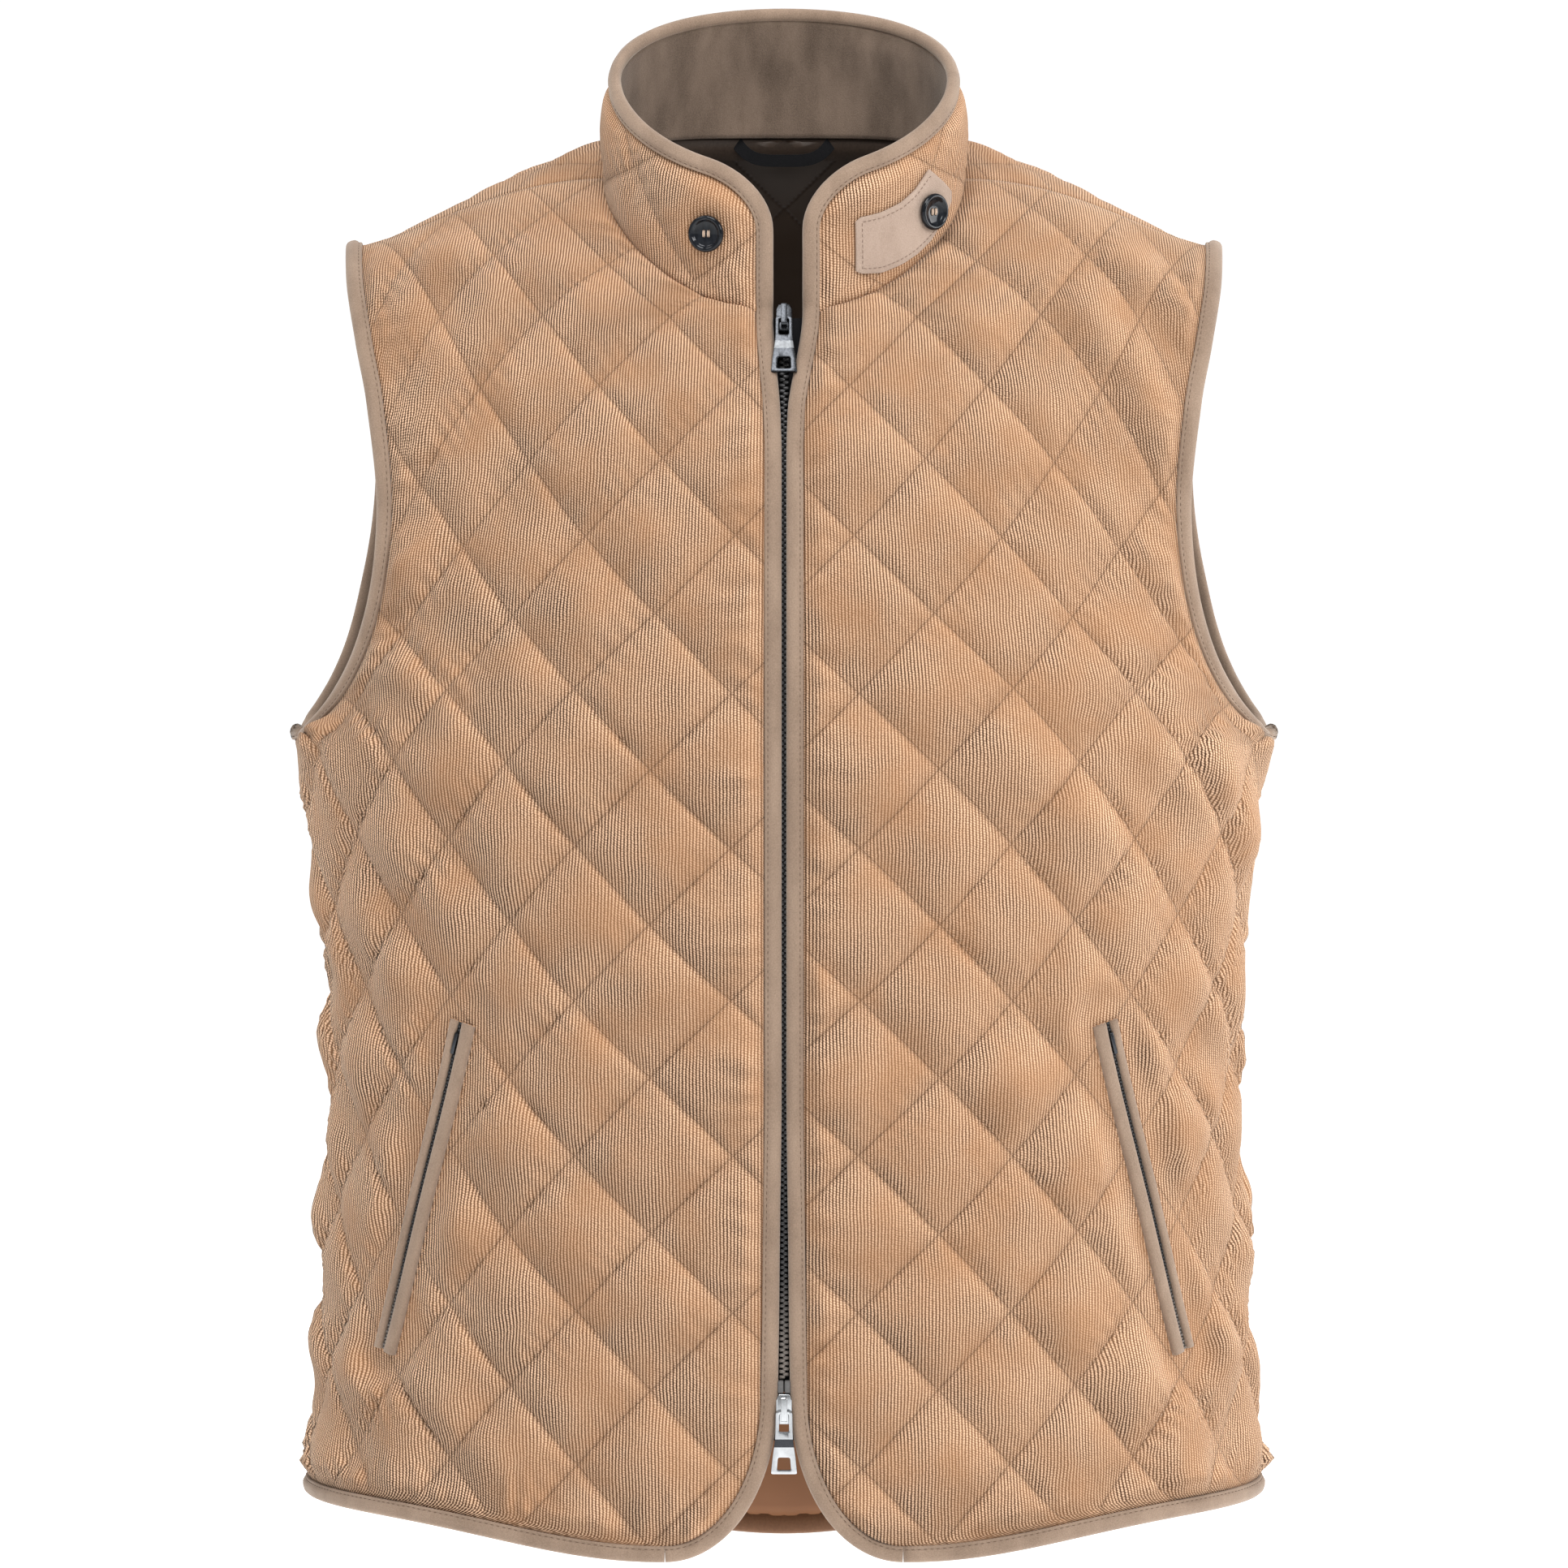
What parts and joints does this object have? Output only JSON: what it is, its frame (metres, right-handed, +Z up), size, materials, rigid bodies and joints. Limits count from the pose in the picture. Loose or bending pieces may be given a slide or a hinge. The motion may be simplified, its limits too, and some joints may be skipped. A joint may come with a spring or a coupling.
{
  "type": "quilted corduroy gilet",
  "caption": "Sleeveless quilted corduroy gilet, filled out as worn, with a stand collar, suede binding, a two-way front zip and slanted zip pockets.",
  "frame": {"origin": "middle of the neck opening, level with the top of the shoulders beside the collar, where the wearer's shoulders hold the garment", "axes": "+Z up, the front faces -Y, +X is the wearer's left"},
  "size_m": [0.4856, 0.2458, 0.7717],
  "materials": {
    "corduroy": "fine-wale cotton corduroy, quilted in diamonds",
    "suede": "taupe suede",
    "lining": "brown satin lining",
    "black_tape": "black woven tape",
    "zip_teeth": "black moulded teeth",
    "zip_metal": "plated die-cast zip metal",
    "horn": "dark polished horn"
  },
  "bodies": {
    "gilet": {"front_left": "corduroy", "front_right": "corduroy", "back": "corduroy", "collar": "corduroy", "lining_front_left": "lining", "lining_front_right": "lining", "lining_back": "lining", "collar_facing": "suede", "collar_binding": "suede", "collar_tab": "suede", "front_binding_left": "suede", "front_binding_right": "suede", "hem_binding": "suede", "armhole_binding_left": "suede", "armhole_binding_right": "suede", "pocket_welt_front_left": "suede", "pocket_welt_front_right": "suede", "pocket_welt_side_left": "suede", "pocket_welt_side_right": "suede", "pocket_zip_left": "zip_teeth", "pocket_zip_right": "zip_teeth", "pocket_slider_left": "zip_metal", "pocket_slider_right": "zip_metal", "zip_tape_left": "black_tape", "zip_tape_right": "black_tape", "zip_chain": "zip_teeth", "zip_box": "zip_metal", "top_slider": "zip_metal", "bottom_slider": "zip_metal", "collar_button": "horn", "tab_button": "horn", "hanger_loop": "black_tape"},
    "top_pull_tab": {"top_pull": "zip_metal"},
    "bottom_pull_tab": {"bottom_pull": "zip_metal"}
  },
  "joints": [
    {"name": "top_pull_swing", "type": "hinge", "parent": "gilet", "child": "top_pull_tab", "pos_m": [0, -0.07418, -0.07495], "axis": [-1, 0, 0], "range_deg": [0, 120]},
    {"name": "bottom_pull_swing", "type": "hinge", "parent": "gilet", "child": "bottom_pull_tab", "pos_m": [0, -0.12076, -0.60403], "axis": [-1, 0, 0], "range_deg": [0, 120]}
  ]
}
